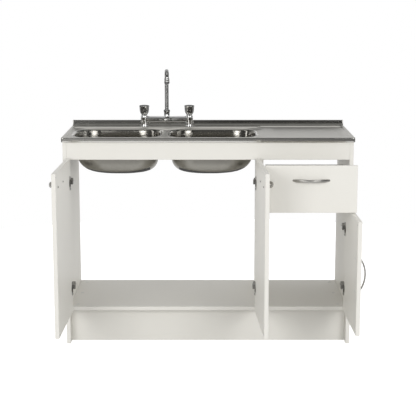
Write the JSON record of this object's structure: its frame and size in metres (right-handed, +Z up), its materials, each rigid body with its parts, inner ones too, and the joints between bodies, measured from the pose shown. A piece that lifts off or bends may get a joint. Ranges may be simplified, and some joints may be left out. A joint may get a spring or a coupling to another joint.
{
  "type": "kitchen sink unit",
  "caption": "White board sink cabinet with hinged doors, a drawer, a pressed steel sit-on sink with bowls and a drainer, and a swan-neck mixer tap.",
  "frame": {"origin": "on the floor under the middle of the kickboard", "axes": "+X to the viewer's right along the unit's length, +Y to the wall, +Z up"},
  "size_m": [1.2258, 0.8633, 1.1288],
  "materials": {
    "white_board": "chipboard faced with smooth white melamine",
    "stainless_sheet": "satin stainless steel sheet",
    "chrome": "polished chrome plating on brass",
    "satin_nickel": "satin nickel plating",
    "plated_steel": "zinc plated steel",
    "brass": "bare turned brass",
    "white_nylon": "moulded white nylon"
  },
  "bodies": {
    "carcass": {"left_side_panel": "white_board", "right_side_panel": "white_board", "partition": "white_board", "bottom_shelf": "white_board", "kickboard": "white_board", "front_rail": "white_board", "back_rail": "white_board", "sink_deck": "stainless_sheet", "left_bowl": "stainless_sheet", "right_bowl": "stainless_sheet", "tap_body": "chrome", "left_bonnet": "chrome", "right_bonnet": "chrome", "spout_nut": "chrome", "left_back_nut": "brass", "right_back_nut": "brass", "drawer_left_front_roller": "white_nylon", "drawer_right_front_roller": "white_nylon", "left_door_upper_hinge_plate": "plated_steel", "left_door_upper_hinge_arm": "satin_nickel", "left_door_lower_hinge_plate": "plated_steel", "left_door_lower_hinge_arm": "satin_nickel", "middle_door_upper_hinge_plate": "plated_steel", "middle_door_upper_hinge_arm": "satin_nickel", "middle_door_lower_hinge_plate": "plated_steel", "middle_door_lower_hinge_arm": "satin_nickel", "right_door_upper_hinge_plate": "plated_steel", "right_door_upper_hinge_arm": "satin_nickel", "right_door_lower_hinge_plate": "plated_steel", "right_door_lower_hinge_arm": "satin_nickel", "drawer_left_outer_runner": "plated_steel", "drawer_right_outer_runner": "plated_steel"},
    "left_door": {"left_door_panel": "white_board", "left_door_upper_hinge_cup": "satin_nickel", "left_door_lower_hinge_cup": "satin_nickel", "left_door_handle": "satin_nickel"},
    "middle_door": {"middle_door_panel": "white_board", "middle_door_upper_hinge_cup": "satin_nickel", "middle_door_lower_hinge_cup": "satin_nickel", "middle_door_handle": "satin_nickel"},
    "right_door": {"right_door_panel": "white_board", "right_door_upper_hinge_cup": "satin_nickel", "right_door_lower_hinge_cup": "satin_nickel", "right_door_handle": "satin_nickel"},
    "drawer": {"drawer_front": "white_board", "drawer_left_side": "white_board", "drawer_right_side": "white_board", "drawer_back": "white_board", "drawer_bottom": "white_board", "drawer_left_rear_roller": "white_nylon", "drawer_right_rear_roller": "white_nylon", "drawer_handle": "satin_nickel", "drawer_left_inner_runner": "plated_steel", "drawer_right_inner_runner": "plated_steel"},
    "spout": {"spout": "chrome", "aerator": "chrome"},
    "left_knob": {"left_knob": "chrome"},
    "right_knob": {"right_knob": "chrome"}
  },
  "joints": [
    {"name": "left_door_hinge", "type": "hinge", "parent": "carcass", "child": "left_door", "pos_m": [-0.58, -0.0765, 0.4695], "axis": [0, 0, 1], "range_deg": [-1.7, 91.3]},
    {"name": "middle_door_hinge", "type": "hinge", "parent": "carcass", "child": "middle_door", "pos_m": [0.2115, -0.0765, 0.4695], "axis": [0, 0, 1], "range_deg": [-92.9, 0.1]},
    {"name": "right_door_hinge", "type": "hinge", "parent": "carcass", "child": "right_door", "pos_m": [0.58, -0.0765, 0.374], "axis": [0, 0, 1], "range_deg": [-91.3, 1.7]},
    {"name": "drawer_slide", "type": "slide", "parent": "carcass", "child": "drawer", "axis": [0, 1, 0], "range_m": [-0.012, 0.192]},
    {"name": "spout_swivel", "type": "hinge", "parent": "carcass", "child": "spout", "pos_m": [-0.1805, 0.317, 0.92], "axis": [0, 0, 1], "range_deg": [-90, 90]},
    {"name": "left_knob_turn", "type": "hinge", "parent": "carcass", "child": "left_knob", "pos_m": [-0.279, 0.317, 0.94], "axis": [0, 0, 1], "range_deg": [0, 180]},
    {"name": "right_knob_turn", "type": "hinge", "parent": "carcass", "child": "right_knob", "pos_m": [-0.082, 0.317, 0.94], "axis": [0, 0, 1], "range_deg": [0, 180]}
  ]
}
